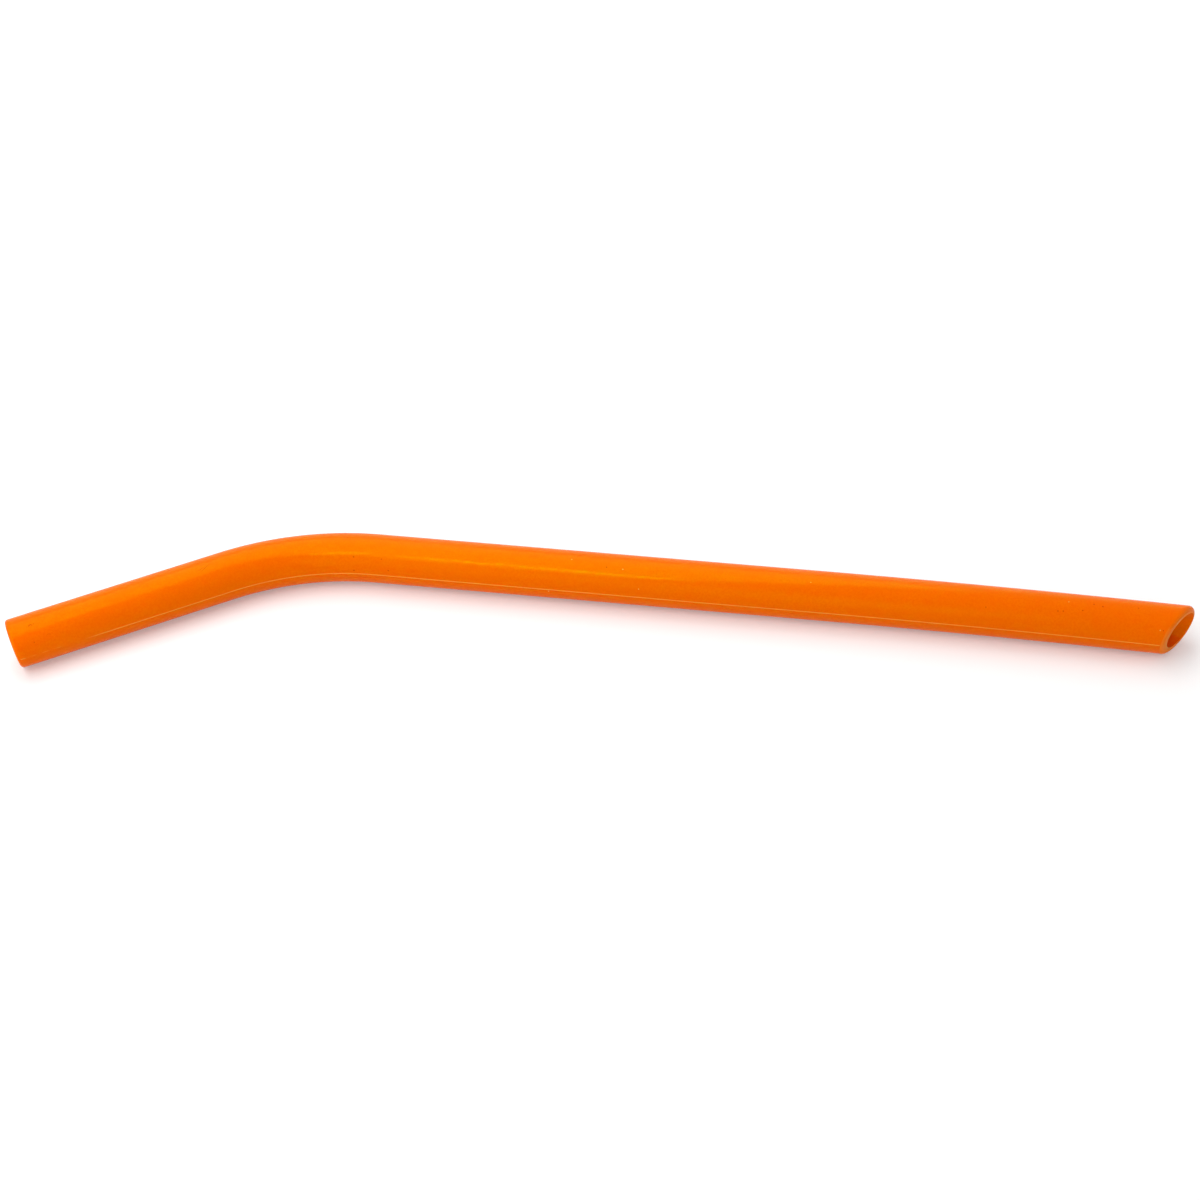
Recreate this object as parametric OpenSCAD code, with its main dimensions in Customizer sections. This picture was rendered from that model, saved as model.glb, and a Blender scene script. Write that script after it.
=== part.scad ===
// Moulded silicone drinking straw, one piece, lying on its side as it comes to rest

/* [Tube] */
// Outside diameter
outer_d = 10; // [8:0.1:14]
// Wall thickness
wall = 1.4; // [1.1:0.1:2.4]

/* [Bend and legs] */
// Straight leg from the mouth end to the bend
mouth_leg = 43.7; // [20:0.1:90]
// Angle of the moulded bend, in degrees
bend_angle = 34.7; // [10:0.1:80]
// Radius of the bend at the centreline
bend_r = 51.7; // [20:0.1:90]
// Straight leg after the bend
foot_leg = 89.9; // [40:0.1:160]
// Length of the run that has curled a little in use
curl_len = 64; // [20:0.5:120]
// Angle that this run has curled by, in degrees
curl_angle = 1.75; // [0.5:0.05:8]

/* [Ends] */
// Tilt of the mouth end's cut from square, in degrees
mouth_tilt = 7; // [1:0.1:20]
// Where its longest side lies round the tube, in degrees up from the outside of the bend
mouth_turn = 126.5; // [0:0.5:359.5]
// Radius of the rounded outer edge at the mouth end
mouth_rim_r = 0.65; // [0.2:0.05:1]
// Straight stretch from the curled run to the heel of the slanted cut
heel_len = 3.1; // [2:0.1:30]
// Tilt of the slanted cut from square, in degrees
slant = 35.7; // [5:0.1:50]
// Where its point lies round the tube, in degrees up from the outside of the bend
slant_turn = 3.7; // [0:0.1:30]
// Radius of the rounded outer edge round the slanted cut
foot_rim_r = 0.9; // [0.2:0.05:1]

/* [Mould line] */
// Height of the raised line where the mould halves met
line_h = 0.08; // [0.05:0.01:0.3]
// Width of that line
line_w = 0.3; // [0.1:0.05:0.8]
// Distance from the mouth end at which the line begins
line_from = 13.9; // [4:0.1:19]
// Distance from the slanted end's rounded edge at which it runs out
line_stop = 0.2; // [0.1:0.05:5]

/* [Hidden] */
$fn = 96;

outer_r = outer_d / 2;
bore_r = outer_r - wall;
curl_r = curl_len * 180 / (PI * curl_angle);
// Centreline length from the curled run to the middle of the slanted cut
tip_len = heel_len + outer_r * tan(slant);
// How far a sweep runs on past an end that is cut
past = outer_d;
// Hair's breadth by which what meets a straight stretch is smaller, so that the two join at
// a clean edge, and what a section grows by for that
hair = 0.01;
$grow = 0;

// Level direction at an angle from the way out of an end towards the outside of the bend
function aside(angle) = [cos(angle), sin(angle), 0];
// A direction as the shear of a cut sees it, with its longest side at a turn round the tube
function unsheared(v, slope, turn) = v + slope * v.x * [0, cos(turn), sin(turn)];
// Reach of a cut end's rounded rim along a direction, from the middle of the cut
function rim_reach(v, r) = (outer_r - r) * norm([v.y, v.z]) + r * (norm(v) - v.x);
function mouth_reach(angle) =
    rim_reach(unsheared(aside(angle), tan(mouth_tilt), mouth_turn), mouth_rim_r);
function slant_reach(angle) = rim_reach(unsheared(aside(angle), tan(slant), slant_turn), foot_rim_r);

// Outermost places of the lying straw seen from above, measured from the mouth end
low_x = -mouth_reach(bend_angle);
low_y = -mouth_reach(bend_angle - 90);
high_x = mouth_leg * cos(bend_angle) + bend_r * sin(bend_angle) + foot_leg
    + curl_r * sin(curl_angle) + tip_len * cos(curl_angle) + slant_reach(curl_angle);
high_y = mouth_leg * sin(bend_angle) + bend_r * (1 - cos(bend_angle)) + outer_r + line_h;

// Sweeps a section straight on from one distance to another
module straight(from, to) {
    translate([from, 0, 0])
        rotate([90, 0, 90])
            linear_extrude(to - from)
                children();
}

// Moves on to where a level turn to the right ends
module past_turn(r, angle) {
    translate([0, -r, 0])
        rotate([0, 0, -angle])
            translate([0, r, 0])
                children();
}

// Block whose face stands square across the tube
module square_block() {
    side = 4 * outer_d;
    translate([0, -side / 2, -side / 2])
        cube(side);
}

// Sweeps a section round such a turn, a little too far, and cuts it off square
module turn(r, angle) {
    overrun = outer_d / 4;
    $grow = -hair;
    difference() {
        translate([0, -r, 0])
            mirror([1, 0, 0])
                rotate_extrude(angle = angle + overrun / r * 180 / PI, start = 90)
                    translate([r, 0])
                        children();
        past_turn(r, angle)
            square_block();
    }
}

// Moves on from the mouth end to where the long leg starts
module at_leg() {
    translate([mouth_leg, 0, 0])
        past_turn(bend_r, bend_angle)
            children();
}

// Moves on from the mouth end to where the curled run ends
module at_tip() {
    at_leg()
        translate([foot_leg, 0, 0])
            past_turn(curl_r, curl_angle)
                children();
}

// Faces out of the mouth end and turns with its cut
module at_mouth() {
    mirror([1, 0, 0])
        rotate([mouth_turn, 0, 0])
            children();
}

// Moves on to the middle of the slanted cut and turns with it
module at_slant() {
    at_tip()
        translate([tip_len, 0, 0])
            rotate([slant_turn, 0, 0])
                children();
}

// Shears along the tube, so that what is square to it slants and what is round stays round
module sheared(angle) {
    slope = tan(angle);
    multmatrix([[1, slope, 0, 0], [0, 1, 0, 0], [0, 0, 1, 0], [0, 0, 0, 1]])
        children();
}

// Sweeps a section along the whole centreline and on past the slanted cut
module along_straw(from) {
    straight(from, mouth_leg)
        children();
    translate([mouth_leg, 0, 0])
        turn(bend_r, bend_angle)
            children();
    at_leg() {
        straight(0, foot_leg)
            children();
        translate([foot_leg, 0, 0])
            turn(curl_r, curl_angle)
                children();
    }
    at_tip()
        straight(0, tip_len + past)
            children();
}

// All that lies beyond a plane some way short of a cut
module beyond_cut(angle, short) {
    translate([-short, 0, 0])
        sheared(angle)
            square_block();
}

// Disc with one rounded edge
module rounded_disc(r) {
    flat_r = outer_r + $grow - r;
    rotate([0, 90, 0])
        rotate_extrude() {
            square([flat_r, r]);
            translate([flat_r, 0])
                intersection() {
                    circle(r);
                    square(r);
                }
        }
}

// Rounded edge that closes off an end of the tube at its cut
module rim(angle, r) {
    $grow = -hair;
    translate([-r, 0, 0])
        sheared(angle)
            rounded_disc(r);
}

// The round outside, solid, with both its ends
module outside() {
    difference() {
        along_straw(-past)
            circle(outer_r + $grow);
        at_mouth()
            beyond_cut(mouth_tilt, mouth_rim_r);
        at_slant()
            beyond_cut(slant, foot_rim_r);
    }
    at_mouth()
        rim(mouth_tilt, mouth_rim_r);
    at_slant()
        rim(slant, foot_rim_r);
}

// A thin level bar through the tube, whose edges stand proud along both sides
module mould_line() {
    difference() {
        along_straw(line_from)
            square([outer_d + 2 * (line_h + $grow), line_w + 2 * $grow], center = true);
        at_slant()
            beyond_cut(slant, foot_rim_r + line_stop);
    }
}

module bore() {
    along_straw(-past)
        circle(bore_r + $grow);
}

module straw() {
    color([0.96, 0.43, 0.02])
        translate([-(low_x + high_x) / 2, -(low_y + high_y) / 2, outer_r])
            rotate([0, 0, bend_angle])
                difference() {
                    union() {
                        outside();
                        mould_line();
                    }
                    bore();
                }
}

straw();
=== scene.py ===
"""Looks of the silicone drinking straw: one swept, moulded tube on a pale floor."""

import math

import bpy
import numpy as np
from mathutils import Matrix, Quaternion, Vector


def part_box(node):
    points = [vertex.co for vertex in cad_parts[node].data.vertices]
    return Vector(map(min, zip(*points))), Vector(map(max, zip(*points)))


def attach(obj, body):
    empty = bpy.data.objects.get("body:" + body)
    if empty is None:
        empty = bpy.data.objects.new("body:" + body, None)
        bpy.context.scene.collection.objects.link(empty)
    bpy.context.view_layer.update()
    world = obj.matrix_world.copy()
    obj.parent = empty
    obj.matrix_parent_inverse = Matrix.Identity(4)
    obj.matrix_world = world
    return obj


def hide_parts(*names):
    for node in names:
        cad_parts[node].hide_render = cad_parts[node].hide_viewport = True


MM = 0.001

# The tube and its centreline, in millimetres and degrees, as in the part's source
OUTER_R = 5.0
BORE_R = 3.6
MOUTH_LEG = 43.7
BEND_ANGLE = 34.7
BEND_R = 51.7
FOOT_LEG = 89.9
CURL_LEN = 64.0
CURL_ANGLE = 1.75
HEEL_LEN = 3.1
SLANT = 35.7
SLANT_TURN = 3.7
MOUTH_RIM_R = 0.65
MOUTH_TILT = 7.0
MOUTH_TURN = 126.5
FOOT_RIM_R = 0.9

# The raised line where the mould halves met
LINE_H = 0.08
LINE_W = 0.3
LINE_FROM = 13.9
LINE_STOP = 0.2
# How far before and after LINE_FROM it comes in, how far a dash's ends fade, and its slopes' width
# as a share of LINE_W
LINE_FADE_IN = (1.5, 3.0)
DASH_FADE = 0.5
LINE_SLOPE = 0.28
# Short dashes of it that are left nearer the mouth: from, to, strength
LINE_DASHES = ((-1.0, 1.5, 0.9), (2.2, 3.6, 0.3), (4.4, 6.2, 0.4), (7.0, 8.6, 0.35))

# Small marks: (distance along the straw, angle round it from its left side, size)
DARK_SPECKS = (
    (4.7, 108, 0.13), (3.7, 149, 0.12), (32.7, 50, 0.22), (68.5, 84, 0.18), (69.1, 86, 0.15),
    (70.9, 138, 0.18), (70.9, 171, 0.18), (76.9, 139, 0.15), (78.4, 165, 0.18), (122.7, 113, 0.18),
    (197.7, 130, 0.16), (211.5, 123, 0.18), (212.5, 122, 0.17), (216.2, 116, 0.18),
    (218.3, 97, 0.17), (220.0, 101, 0.2), (226.8, 95, 0.16), (231.7, 143, 0.14),
)
PALE_SPECKS = (
    (111.3, 185, 0.18), (115.5, 100, 0.19), (126.0, 115, 0.2), (129.5, 158, 0.16),
    (163.4, 108, 0.16), (213.5, 97, 0.17), (231.1, 143, 0.19),
)
# Crescents: where, size, how far apart the two discs are that leave it between them, strength
CRESCENTS = (((4.0, 111), 0.46, 0.24, 1.0), ((6.7, 145), 0.5, 0.14, 0.35))
# Scratches: from, to, half width
SCRATCHES = (((38.0, 115), (41.6, 92), 0.09), ((37.6, 108), (39.9, 100), 0.07))

# The mesh: columns round the tube, and places of the close ones over a mould line, in its widths
COLUMNS = 144
LINE_COLUMNS = (-1.6, -0.8, -0.5, -0.22, 0, 0.22, 0.5, 0.8, 1.6)
# Steps between rows along the tube, closer until CLOSE_RUN past the mould line's start
ROW_STEP = 0.8
CLOSE_ROW_STEP = 0.4
CLOSE_RUN = 4.0
BORE_ROW_STEP = 2.5
# Run behind the mouth in which rows turn from the cut's tilt to square, and numbers of rows
END_RUN = 3.2
MOUTH_RUN_ROWS = 9
TIP_ROWS = 16
MOUTH_RIM_ROWS = 8
FOOT_RIM_ROWS = 12
FLAT_ROWS = 6
BORE_TIP_ROWS = 8
BORE_MOUTH_ROWS = 5
# Least angle between faces, in degrees, that shows as an edge
SHARP_ANGLE = 42
# How far inside the bore its own look starts
LIP_RUN = 0.08

# Where a cut's edge counts as blunt: cosines of its angle between which the look changes
BLUNT = (0.3, 0.5)

# Colours in linear light: the body where its grain is low and high, and where it is deeper
BODY_LOW = (0.93, 0.116, 0.0, 1)
BODY_HIGH = (0.96, 0.140, 0.0, 1)
BODY_DEEP = (0.94, 0.119, 0.0, 1)
# Painted highlight: a paler colour along the raised mould line, as if its edges caught the light
SEAM_HIGHLIGHT_COLOUR = (1.0, 0.29, 0.05, 1)
# Painted light: the bore's colour is a brighter copy of the body's, standing in for light that reaches
# inside it
BORE_PAINTED_LIGHT_COLOUR = (1.0, 0.155, 0.0, 1)
# Partly the cut face's own duller look, partly painted light: brighter than the body to lift the shade
# where the cut and its rounded edge turn from the lamps
CUT_AND_EDGE_LIGHT_COLOUR = (0.97, 0.185, 0.016, 1)
LIP_COLOUR = (0.95, 0.26, 0.055, 1)
DARK_COLOUR = (0.6, 0.02, 0.0, 1)
PALE_COLOUR = (0.95, 0.42, 0.12, 1)
# How much of the mould line's painted highlight and of the marks' colours shows
SEAM_HIGHLIGHT_SHARE = 0.85
DARK_SHARE = 0.75
PALE_SHARE = 0.8

# Noise on the surface: repeats in a millimetre, and height in millimetres
BROAD_SCALE, BROAD_HEIGHT = 0.12, 0.03
MIDDLING_SCALE, MIDDLING_HEIGHT = 0.8, 0.007
GRAIN_SCALE, GRAIN_HEIGHT = 2.4, 0.004
DARK_DEPTH = 0.03
# Roughness of the body, from its low to its high grain, and of the cut faces
BODY_ROUGHNESS = (0.06, 0.1)
CUT_ROUGHNESS = 0.6

# Floor: its size, how far it lies under the straw, and its own glow near the straw and far away,
# with the distances over which it rises where the lamps no longer light it, in metres
FLOOR_SIZE = 6
FLOOR_DROP = 0.0002
FLOOR_COLOUR = (0.8, 0.8, 0.8, 1)
FLOOR_GLOW = (0.22, 0.8)
FLOOR_FADE = (0.16, 0.6)

# Strength of the light from all round
WORLD_LIGHT = 0.33
# Lamps: place in metres, tip and turn in degrees, width and depth in metres, watts
LAMPS = {
    "key": ((-0.19, 0.11, 0.5), 0, -11, 0.47, 1.08, 3.6),
    "core": ((-0.1, -0.27, 0.498), 0, -11, 0.14, 0.07, 0.17),
    "fill": ((-0.35, -0.55, 0.3), 65, -30, 1.1, 0.6, 1.6),
    "rear": ((0.0, 1.0, 0.3), -80, 0, 1.8, 0.55, 2.2),
    "side": ((0.31, -0.03, 0.1), 75, 80, 0.25, 0.25, 0.08),
}

# Camera, from the fit to the photograph's outline: where it looks on the floor, in
# millimetres, and how it stands to that place
LOOK_AT = (-1.94, 15.19, 0.0)
CAMERA_AZIMUTH = 8.91
CAMERA_ELEVATION = 42.3
CAMERA_ROLL = -1.12
CAMERA_DISTANCE = 395.3
LENS = 58.28
SENSOR = 36.0


def direction(azimuth, elevation):
    a, e = math.radians(azimuth), math.radians(elevation)
    return Vector((math.sin(a) * math.cos(e), -math.cos(a) * math.cos(e), math.sin(e)))


# Centreline


def stretches(start):
    """The centreline's stretches: (length, turn to the right in radians), and where each starts."""
    plan = [
        (MOUTH_LEG, 0.0),
        (BEND_R * math.radians(BEND_ANGLE), math.radians(BEND_ANGLE)),
        (FOOT_LEG, 0.0),
        (CURL_LEN, math.radians(CURL_ANGLE)),
        (HEEL_LEN + OUTER_R * math.tan(math.radians(SLANT)), 0.0),
    ]
    place, heading, along = np.array(start, float), math.radians(BEND_ANGLE), 0.0
    found = []
    for length, turn in plan:
        found.append((along, length, turn, place, heading))
        place = place + moved(length, length, turn, heading)
        heading -= turn
        along += length
    return found


def moved(distance, length, turn, heading):
    """How far a stretch has come after a distance along it."""
    part = turn * distance / length
    middle = heading - part / 2
    chord = distance * np.sinc(part / 2 / math.pi)
    return np.stack([chord * np.cos(middle), chord * np.sin(middle)], -1)


def on_centreline(path, along):
    """Places and headings on the centreline at the distances given, which may lie beyond its ends."""
    along = np.asarray(along, float)
    place, heading = np.zeros(along.shape + (2,)), np.zeros(along.shape)
    for i, (from_, length, turn, at, toward) in enumerate(path):
        here = (along >= from_) | (i == 0)
        d = along[here] - from_
        place[here] = at + moved(d, length, turn, toward)
        heading[here] = toward - turn * d / length
    return place, heading


def on_tube(path, along, around, radius):
    """Points at a distance along the straw, an angle around it from its left side, and a radius."""
    along, around, radius = np.broadcast_arrays(along, around, radius)
    place, heading = on_centreline(path, along)
    left, up = radius * np.cos(around), radius * np.sin(around)
    return np.stack(
        [
            place[..., 0] - left * np.sin(heading),
            place[..., 1] + left * np.cos(heading),
            OUTER_R + up,
        ],
        -1,
    )


def mouth_centre(low, high):
    """Where the mouth end's centre lies, from the box of the CAD node, in millimetres."""
    bend = math.radians(BEND_ANGLE)
    slope, turn = math.tan(math.radians(MOUTH_TILT)), math.radians(MOUTH_TURN)
    out = math.cos(bend)
    aside = math.hypot(math.sin(bend) + slope * out * math.cos(turn), slope * out * math.sin(turn))
    reach = (OUTER_R - MOUTH_RIM_R) * aside + MOUTH_RIM_R * (math.hypot(out, aside) - out)
    rise = MOUTH_LEG * math.sin(bend) + BEND_R * (1 - math.cos(bend)) + OUTER_R + LINE_H
    return low.x / MM + reach, high.y / MM - rise


# Surface


def columns():
    """Angles round the tube, with close ones over the two mould lines."""
    line = np.array(LINE_COLUMNS) * LINE_W / OUTER_R
    gap = line[-1]
    half = np.linspace(gap, math.pi - gap, COLUMNS // 2 + 1)[1:-1]
    return np.concatenate([line, half, math.pi + line, math.pi + half])


def line_shape(around):
    """Height of the mould line's section, from 0 to 1, round the tube."""
    off = np.abs((around + math.pi / 2) % math.pi - math.pi / 2) * OUTER_R / LINE_W
    return np.clip((0.5 - off) / LINE_SLOPE, 0, 1)


def smooth_step(x, low, high):
    t = np.clip((x - low) / (high - low), 0, 1)
    return t * t * (3 - 2 * t)


def line_along(along, end):
    """Strength of the mould line along the straw: dashes near the mouth, then a whole line."""
    before, after = LINE_FADE_IN
    whole = smooth_step(along, LINE_FROM - before, LINE_FROM + after)
    whole = whole * smooth_step(end - along, 0, LINE_STOP)
    for low, high, strength in LINE_DASHES:
        starts = smooth_step(along, low, low + DASH_FADE)
        dash = starts * (1 - smooth_step(along, high - DASH_FADE, high))
        whole = np.maximum(whole, strength * dash)
    return whole


def cut_end(around, out, tilt, turn, rim_r):
    """A cut end with its edge rounded by a ball of radius rim_r rolled round inside it.

    Gives, at each angle, the ball's centre, the direction to where it touches the tube, and the
    normal of the cut, all in the frame of the straight end: forward, left, up from the cut's middle.
    """
    slope, turn = math.tan(math.radians(tilt)), math.radians(turn)
    normal = np.array([out, -slope * math.cos(turn), -slope * math.sin(turn)])
    normal /= np.linalg.norm(normal)
    outward = np.stack([0 * around, np.cos(around), np.sin(around)], -1)
    centre = outward * (OUTER_R - rim_r)
    centre[:, 0] = (-rim_r - centre @ normal) / normal[0]
    return centre, outward, normal


def end_rows(ball, rim_r, steps):
    """Rows from the tube over the rounded edge and the flat cut to the bore.

    Each is its points, how cut they are and how near to the bore's pale lip. Where the edge is
    blunt, the look of the cut starts at once; elsewhere it comes in over the rounded edge as
    painted light that lifts the shade where the edge turns from the lamps.
    """
    centre, outward, normal = ball
    facing = outward @ normal
    angle = np.arccos(facing)[:, None]
    blunt = smooth_step(facing, *BLUNT)
    rows = []
    for t in np.linspace(0, 1, steps)[1:]:
        toward = np.sin((1 - t) * angle) * outward + np.sin(t * angle) * normal
        # Painted light: the cut's brighter colour comes in gradually over the rounded edge, lifting its
        # shade
        slow = 0.4 * smooth_step(t, 0.2, 0.7) + 0.6 * smooth_step(t, 0.85, 1)
        cut_and_edge_light = slow + blunt * (smooth_step(t, 0, 0.15) - slow)
        rows.append((centre + rim_r * toward / np.sin(angle), cut_and_edge_light, 0.0))
    flat = rows[-1][0]
    hole = outward * BORE_R
    hole[:, 0] = -(hole @ normal) / normal[0]
    rows += [(flat + t * (hole - flat), 1.0, t**6) for t in np.linspace(0, 1, FLAT_ROWS)[1:]]
    return rows


def in_frame_of(path, along, points):
    """Points given forward, left and up from a place on the centreline."""
    place, heading = on_centreline(path, np.array([along]))
    c, s = math.cos(heading[0]), math.sin(heading[0])
    x = place[0, 0] + points[..., 0] * c - points[..., 1] * s
    y = place[0, 1] + points[..., 0] * s + points[..., 1] * c
    return np.stack([x, y, OUTER_R + points[..., 2]], -1)


def straw_rows(path, around):
    """Loops of points from the mouth over the outside, round the slanted end and back inside."""
    tip_from, tip_len = path[-1][:2]
    total = tip_from + tip_len
    mouth = cut_end(around, -1, MOUTH_TILT, MOUTH_TURN, MOUTH_RIM_R)
    foot = cut_end(around, 1, SLANT, SLANT_TURN, FOOT_RIM_R)
    start, end = mouth[0][:, 0], total + foot[0][:, 0]
    shape = line_shape(around)
    rows = []
    values = {"cut": [], "lip": [], "seam": [], "bore": []}

    def add(points, **looks):
        rows.append(points)
        for label, found in values.items():
            found.append(np.broadcast_to(looks.get(label, 0.0), around.shape))

    mouth_rows = end_rows(mouth, MOUTH_RIM_R, MOUTH_RIM_ROWS)
    for points, cut_and_edge_light, lip in reversed(mouth_rows):
        add(in_frame_of(path, 0, points), cut=cut_and_edge_light, lip=lip)
    close_end = LINE_FROM + CLOSE_RUN
    ring = [start + t * (END_RUN - start) for t in np.linspace(0, 1, MOUTH_RUN_ROWS)]
    ring += list(np.arange(END_RUN, close_end, CLOSE_ROW_STEP)[1:])
    ring += list(np.arange(close_end, tip_from, ROW_STEP)[1:])
    ring += [tip_from + t * (end - tip_from) for t in np.linspace(0, 1, TIP_ROWS)]
    for along in ring:
        line = shape * line_along(along, end)
        add(on_tube(path, along, around, OUTER_R + LINE_H * line), seam=line)
    foot_rows = end_rows(foot, FOOT_RIM_R, FOOT_RIM_ROWS)
    for points, cut_and_edge_light, lip in foot_rows:
        add(in_frame_of(path, total, points), cut=cut_and_edge_light, lip=lip)

    near, far = mouth_rows[-1][0][:, 0], total + foot_rows[-1][0][:, 0]
    count = int((tip_from - END_RUN) / BORE_ROW_STEP)
    bore = [far - LIP_RUN]
    bore += [far + t * (tip_from - far) for t in np.linspace(0, 1, BORE_TIP_ROWS)[1:]]
    bore += list(np.linspace(tip_from, END_RUN, count)[1:])
    bore += [END_RUN + t * (near - END_RUN) for t in np.linspace(0, 1, BORE_MOUTH_ROWS)[1:-1]]
    bore += [near + LIP_RUN]
    for along in bore:
        add(on_tube(path, along, around, BORE_R), bore=1.0)
    return np.array(rows), {label: np.array(found) for label, found in values.items()}


def ring_mesh(name, rows, values):
    """Closed mesh of quads between rows of points, each row a loop and the last joined to the first."""
    n, m = rows.shape[:2]
    i, j = np.meshgrid(np.arange(n), np.arange(m), indexing="ij")
    i2, j2 = (i + 1) % n, (j + 1) % m
    faces = np.stack([i * m + j, i2 * m + j, i2 * m + j2, i * m + j2], -1).reshape(-1, 4)
    mesh = bpy.data.meshes.new(name)
    mesh.from_pydata((rows.reshape(-1, 3) * MM).tolist(), [], faces.tolist())
    for label, value in values.items():
        layer = mesh.attributes.new(label, "FLOAT", "POINT")
        layer.data.foreach_set("value", value.astype(np.float32).ravel())
    mesh.shade_smooth()
    mesh.set_sharp_from_angle(angle=math.radians(SHARP_ANGLE))
    mesh.validate()
    piece = bpy.data.objects.new(name, mesh)
    bpy.context.scene.collection.objects.link(piece)
    return piece


# Materials


class Graph:
    """Short ways to add nodes to a material."""

    def __init__(self, name):
        self.material = bpy.data.materials.new(name)
        self.material.use_nodes = True
        self.tree = self.material.node_tree
        self.tree.nodes.clear()

    def node(self, kind, settings=None, **inputs):
        made = self.tree.nodes.new(kind)
        for key, value in (settings or {}).items():
            setattr(made, key, value)
        for key, value in inputs.items():
            self.put(made.inputs[key.replace("_", " ")], value)
        return made

    def put(self, socket, value):
        if isinstance(value, bpy.types.NodeSocket):
            self.tree.links.new(value, socket)
        else:
            socket.default_value = value

    def math(self, operation, *values, clamp=False):
        made = self.node("ShaderNodeMath", {"operation": operation, "use_clamp": clamp})
        for socket, value in zip(made.inputs, values):
            self.put(socket, value)
        return made.outputs[0]

    def ramp(self, value, low, high, to_low=0.0, to_high=1.0):
        made = self.node("ShaderNodeMapRange", {"interpolation_type": "SMOOTHSTEP"}, Value=value)
        for key, number in zip(
            ("From Min", "From Max", "To Min", "To Max"), (low, high, to_low, to_high)
        ):
            made.inputs[key].default_value = number
        return made.outputs["Result"]

    def noise(self, where, scale, detail=2.0, roughness=0.5):
        made = self.node("ShaderNodeTexNoise")
        for key, value in (
            ("Vector", where),
            ("Scale", scale),
            ("Detail", detail),
            ("Roughness", roughness),
        ):
            self.put(made.inputs[key], value)
        return made.outputs["Fac"]

    def mix(self, share, a, b, blend="MIX"):
        made = self.node("ShaderNodeMix", {"data_type": "RGBA", "blend_type": blend})
        self.put(made.inputs[0], share)
        self.put(made.inputs[6], a)
        self.put(made.inputs[7], b)
        return made.outputs[2]

    def spot(self, where, place, size, soft=0.5):
        """1 within a ball of that radius round a place, falling to 0 at its edge."""
        made = self.node("ShaderNodeVectorMath", {"operation": "DISTANCE"})
        self.put(made.inputs[0], where)
        self.put(made.inputs[1], tuple(place))
        return self.ramp(made.outputs["Value"], size, size * (1 - soft))

    def stroke(self, where, start, end, half_width):
        """1 near the line between two places, falling to 0 at half_width from it and at its ends."""
        axis = Vector(end) - Vector(start)
        made = self.node("ShaderNodeMapping", {"vector_type": "TEXTURE"}, Vector=where)
        made.inputs["Location"].default_value = (Vector(start) + Vector(end)) / 2
        made.inputs["Rotation"].default_value = axis.to_track_quat("X", "Z").to_euler()
        made.inputs["Scale"].default_value = (axis.length / 2, half_width, 4 * half_width)
        size = self.node("ShaderNodeVectorMath", {"operation": "LENGTH"})
        self.put(size.inputs[0], made.outputs[0])
        return self.ramp(size.outputs["Value"], 1.0, 0.3)

    def largest(self, values):
        found = values[0]
        for value in values[1:]:
            found = self.math("MAXIMUM", found, value)
        return found

    def attribute(self, name):
        return self.node("ShaderNodeAttribute", {"attribute_name": name}).outputs["Fac"]


def marks(g, where, path):
    """Masks of the dark and the pale marks."""

    def place(along, around):
        return on_tube(path, along, math.radians(around), OUTER_R)

    dark = [g.spot(where, place(*mark[:2]), mark[2]) for mark in DARK_SPECKS]
    dark += [g.stroke(where, place(*a), place(*b), w) for a, b, w in SCRATCHES]
    for (along, around), size, apart, strength in CRESCENTS:
        whole = g.spot(where, place(along, around), size, 0.25)
        below = math.degrees(apart / OUTER_R)
        rest = g.spot(where, place(along, around + below), size, 0.25)
        left = g.math("SUBTRACT", whole, rest, clamp=True)
        dark.append(g.math("MULTIPLY", left, strength))
    pale = [g.spot(where, place(*mark[:2]), mark[2]) for mark in PALE_SPECKS]
    return g.largest(dark), g.largest(pale)


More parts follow.
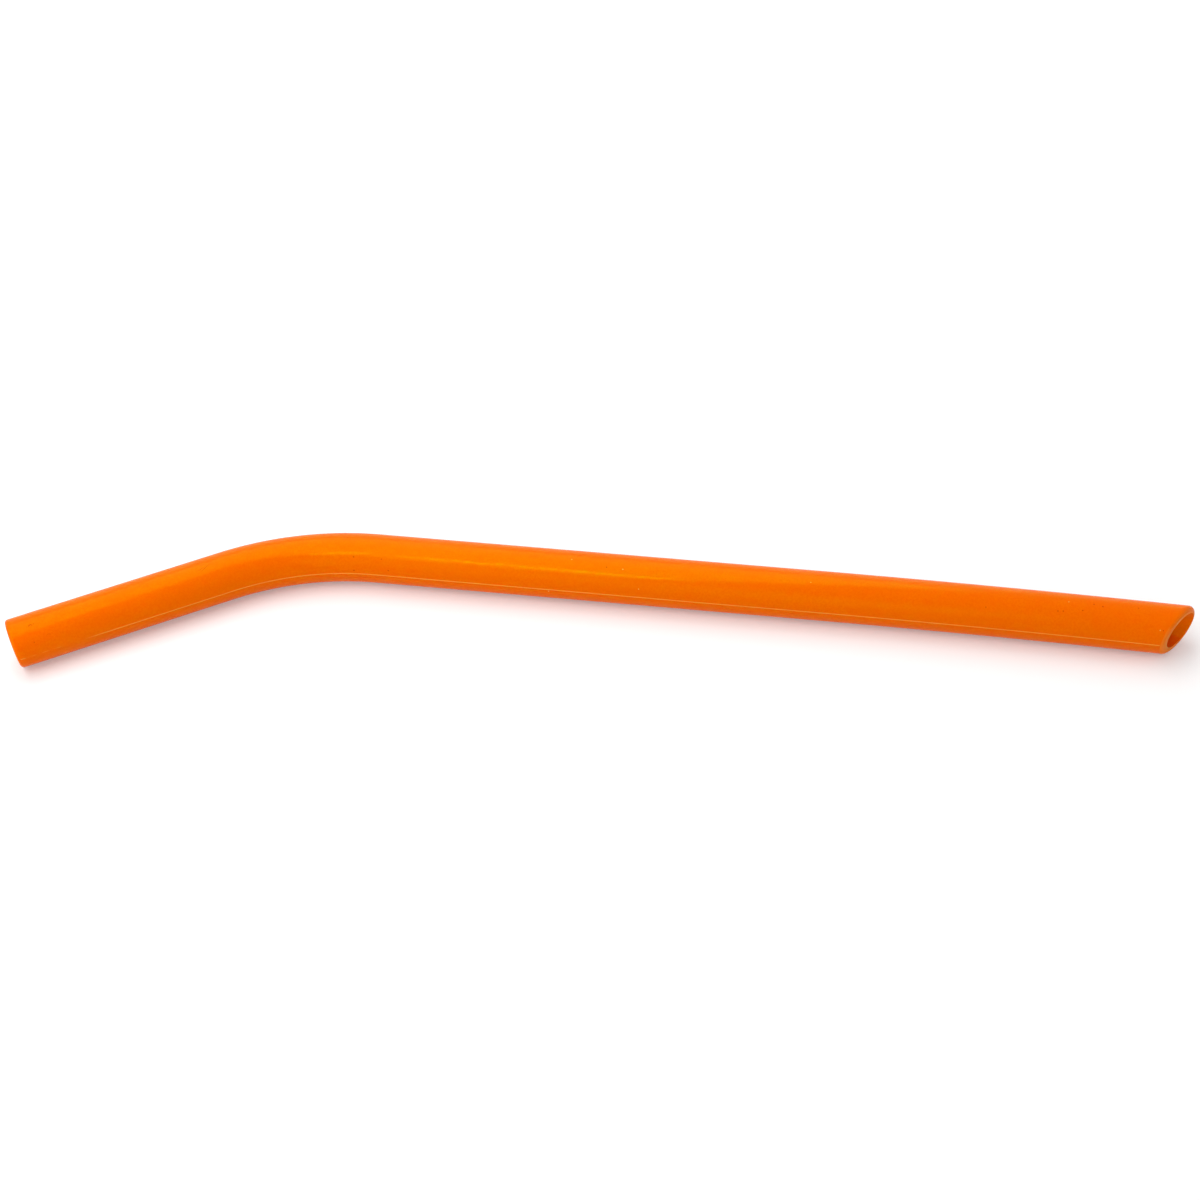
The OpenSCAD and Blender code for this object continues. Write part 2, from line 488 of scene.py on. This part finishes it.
def silicone(path):
    """Satin silicone whose highlights are tinted, with its grain, marks, a painted highlight on the
    mould line, painted light in the bore and on the cut edges, and cut faces.
    """
    g = Graph("silicone")
    place = g.node("ShaderNodeTexCoord").outputs["Object"]
    where = g.node("ShaderNodeVectorMath", {"operation": "SCALE"})
    g.put(where.inputs[0], place)
    g.put(where.inputs["Scale"], 1 / MM)
    mm = where.outputs[0]

    broad = g.noise(mm, BROAD_SCALE, 3)
    middling = g.noise(mm, MIDDLING_SCALE, 2)
    grain = g.noise(mm, GRAIN_SCALE, 2, 0.6)
    dark, light = marks(g, mm, path)

    colour = g.mix(g.ramp(grain, 0.3, 0.7), BODY_LOW, BODY_HIGH)
    colour = g.mix(g.ramp(broad, 0.35, 0.65, 0.0, 0.4), colour, BODY_DEEP)
    # Painted highlight along the raised mould line
    colour = g.mix(g.math("MULTIPLY", g.attribute("seam"), SEAM_HIGHLIGHT_SHARE), colour, SEAM_HIGHLIGHT_COLOUR)
    # Painted light: the inside of the bore is brightened by its colour
    colour = g.mix(g.attribute("bore"), colour, BORE_PAINTED_LIGHT_COLOUR)
    # Cut faces in their own duller colour, with painted light over their rounded edges
    colour = g.mix(g.attribute("cut"), colour, CUT_AND_EDGE_LIGHT_COLOUR)
    colour = g.mix(g.attribute("lip"), colour, LIP_COLOUR)
    colour = g.mix(g.math("MULTIPLY", dark, DARK_SHARE), colour, DARK_COLOUR)
    colour = g.mix(g.math("MULTIPLY", light, PALE_SHARE), colour, PALE_COLOUR)

    rough = g.ramp(grain, 0.3, 0.7, *BODY_ROUGHNESS)
    dull = g.math("MULTIPLY", g.attribute("cut"), CUT_ROUGHNESS)
    rough = g.math("MAXIMUM", rough, dull)

    height = g.math("MULTIPLY", grain, GRAIN_HEIGHT)
    height = g.math("ADD", height, g.math("MULTIPLY", broad, BROAD_HEIGHT))
    height = g.math("ADD", height, g.math("MULTIPLY", middling, MIDDLING_HEIGHT))
    height = g.math("SUBTRACT", height, g.math("MULTIPLY", dark, DARK_DEPTH))
    bump = g.node("ShaderNodeBump", Height=height, Strength=1.0, Distance=MM)

    shader = g.node("ShaderNodeBsdfPrincipled")
    for key, value in (
        ("Base Color", colour),
        ("Roughness", rough),
        ("Specular IOR Level", 0.02),
        ("Specular Tint", (3.0, 16.0, 0.0, 1)),
        ("Subsurface Weight", 0.6),
        ("Subsurface Radius", (1.0, 0.3, 0.08)),
        ("Subsurface Scale", 2.2 * MM),
        ("Sheen Weight", 0.045),
        ("Sheen Roughness", 0.4),
        ("Normal", bump.outputs[0]),
    ):
        g.put(shader.inputs[key], value)
    g.node("ShaderNodeOutputMaterial", Surface=shader.outputs[0])
    return g.material


def pale(name, near, far):
    """Plain floor: white to the camera and to mirrors, save for the shadow on it.

    Its glow rises from near to far where the lamps no longer light it.
    """
    g = Graph(name)
    path = g.node("ShaderNodeLightPath")
    seen = g.math("MAXIMUM", path.outputs["Is Camera Ray"], path.outputs["Is Glossy Ray"])
    seen = g.math("MAXIMUM", seen, path.outputs["Is Transmission Ray"])
    diffuse = g.node("ShaderNodeBsdfDiffuse", Color=FLOOR_COLOUR)
    away = g.node("ShaderNodeVectorMath", {"operation": "LENGTH"})
    g.put(away.inputs[0], g.node("ShaderNodeTexCoord").outputs["Object"])
    light = g.ramp(away.outputs["Value"], *FLOOR_FADE, near, far)
    glow = g.node("ShaderNodeEmission", Strength=g.math("MULTIPLY", seen, light))
    both = g.node("ShaderNodeAddShader")
    g.put(both.inputs[0], diffuse.outputs[0])
    g.put(both.inputs[1], glow.outputs[0])
    g.node("ShaderNodeOutputMaterial", Surface=both.outputs[0])
    return g.material


# Stage


def add_floor():
    bpy.ops.mesh.primitive_plane_add(size=FLOOR_SIZE, location=(0, 0, -FLOOR_DROP))
    floor = bpy.context.object
    floor.name = "floor"
    floor.data.materials.append(pale("floor", *FLOOR_GLOW))


def add_world(light):
    """White to the camera and to mirrors, and a light of that strength to all else."""
    world = bpy.data.worlds.new("studio")
    world.use_nodes = True
    tree = world.node_tree
    tree.nodes.clear()
    path = tree.nodes.new("ShaderNodeLightPath")
    seen = path.outputs["Is Camera Ray"]
    for other in ("Is Glossy Ray", "Is Transmission Ray"):
        both = tree.nodes.new("ShaderNodeMath")
        both.operation = "MAXIMUM"
        tree.links.new(seen, both.inputs[0])
        tree.links.new(path.outputs[other], both.inputs[1])
        seen = both.outputs[0]
    level = tree.nodes.new("ShaderNodeMapRange")
    level.inputs["To Min"].default_value = light
    tree.links.new(seen, level.inputs["Value"])
    sky = tree.nodes.new("ShaderNodeBackground")
    sky.inputs["Color"].default_value = (1, 1, 1, 1)
    tree.links.new(level.outputs[0], sky.inputs["Strength"])
    tree.links.new(sky.outputs[0], tree.nodes.new("ShaderNodeOutputWorld").inputs[0])
    bpy.context.scene.world = world


def add_softbox(name, place, tip, turn, width, depth, watts):
    """A soft lamp that looks down, tipped towards +Y and then turned about the vertical, in degrees."""
    lamp = bpy.data.lights.new(name, "AREA")
    lamp.shape = "RECTANGLE"
    lamp.size, lamp.size_y = width, depth
    lamp.energy = watts
    box = bpy.data.objects.new(name, lamp)
    bpy.context.scene.collection.objects.link(box)
    box.location = place
    box.rotation_euler = (math.radians(tip), 0, math.radians(turn))
    box.visible_camera = False


def add_camera():
    data = bpy.data.cameras.new("camera")
    data.lens = LENS
    data.sensor_width = SENSOR
    data.clip_start, data.clip_end = 0.01, 20
    camera = bpy.data.objects.new("camera", data)
    bpy.context.scene.collection.objects.link(camera)
    back = direction(CAMERA_AZIMUTH, CAMERA_ELEVATION)
    camera.location = (Vector(LOOK_AT) + CAMERA_DISTANCE * back) * MM
    level = (-back).to_track_quat("-Z", "Y")
    roll = Quaternion((0, 0, 1), math.radians(CAMERA_ROLL))
    camera.rotation_euler = (level @ roll).to_euler()
    bpy.context.scene.camera = camera


# Scene

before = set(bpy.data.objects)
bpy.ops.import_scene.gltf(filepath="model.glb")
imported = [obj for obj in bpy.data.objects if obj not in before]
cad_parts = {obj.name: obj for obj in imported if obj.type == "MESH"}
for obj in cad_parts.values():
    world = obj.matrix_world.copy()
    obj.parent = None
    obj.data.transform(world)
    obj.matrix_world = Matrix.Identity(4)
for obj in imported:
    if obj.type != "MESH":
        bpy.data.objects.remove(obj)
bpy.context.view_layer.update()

path = stretches(mouth_centre(*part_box("straw")))
around = columns()
straw = ring_mesh("straw_body", *straw_rows(path, around))
straw.data.materials.append(silicone(path))
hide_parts("straw")
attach(straw, "root")

add_floor()
add_world(WORLD_LIGHT)
for lamp_name, settings in LAMPS.items():
    add_softbox(lamp_name, *settings)
add_camera()
bpy.context.scene.view_settings.view_transform = "Standard"
